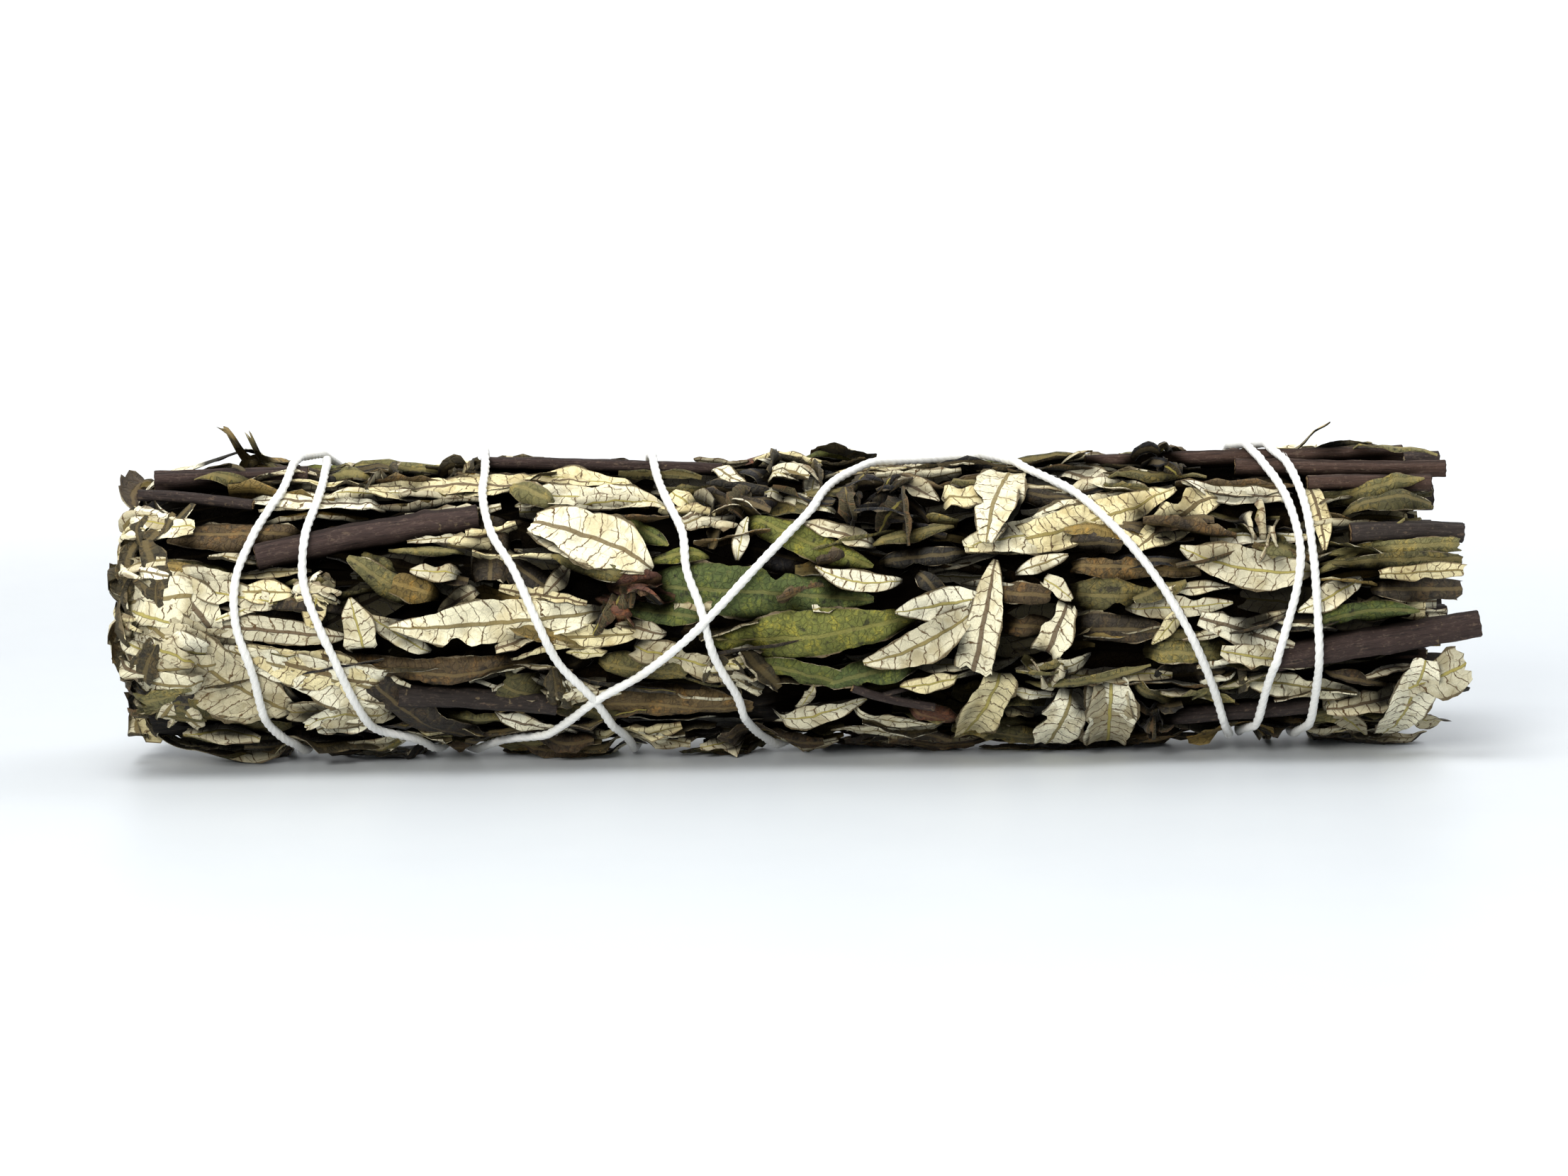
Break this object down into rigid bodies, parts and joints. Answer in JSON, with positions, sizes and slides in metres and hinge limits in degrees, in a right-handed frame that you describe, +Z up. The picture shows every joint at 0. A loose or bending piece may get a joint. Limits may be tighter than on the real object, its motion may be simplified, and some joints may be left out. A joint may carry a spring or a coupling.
{
  "type": "smudge stick",
  "caption": "Round bundle of dried yerba santa cuttings wound crosswise with cotton string, held at its cut stems and lit at its folded leaf tips.",
  "frame": {"origin": "on the surface that the bundle lies on, under the middle of the bundle's box", "axes": "+X along the bundle towards its cut stems, +Z up, so the side that the picture shows faces -Y"},
  "size_m": [0.2178, 0.0552, 0.0565],
  "materials": {
    "leaf": "matte",
    "bark": "matte",
    "cotton": "matte"
  },
  "bodies": {
    "root": {"leafy_stem_1": "leaf", "leafy_stem_2": "leaf", "leafy_stem_3": "leaf", "leafy_stem_4": "leaf", "leafy_stem_5": "leaf", "leafy_stem_6": "leaf", "leafy_stem_7": "leaf", "leafy_stem_8": "leaf", "front_stem_1": "bark", "front_stem_2": "bark", "front_stem_3": "bark", "front_stem_4": "bark", "front_stem_5": "bark", "front_stem_6": "bark", "front_stem_7": "bark", "front_stem_8": "bark", "front_stem_9": "bark", "front_stem_10": "bark", "front_stem_11": "bark", "front_stem_12": "bark", "back_stem_1": "bark", "back_stem_2": "bark", "back_stem_3": "bark", "back_stem_4": "bark", "back_stem_5": "bark", "back_stem_6": "bark", "back_stem_7": "bark", "back_stem_8": "bark", "inner_stem_1": "bark", "inner_stem_2": "bark", "inner_stem_3": "bark", "inner_stem_4": "bark", "inner_stem_5": "bark", "inner_stem_6": "bark", "inner_stem_7": "bark", "string": "cotton"}
  },
  "joints": []
}
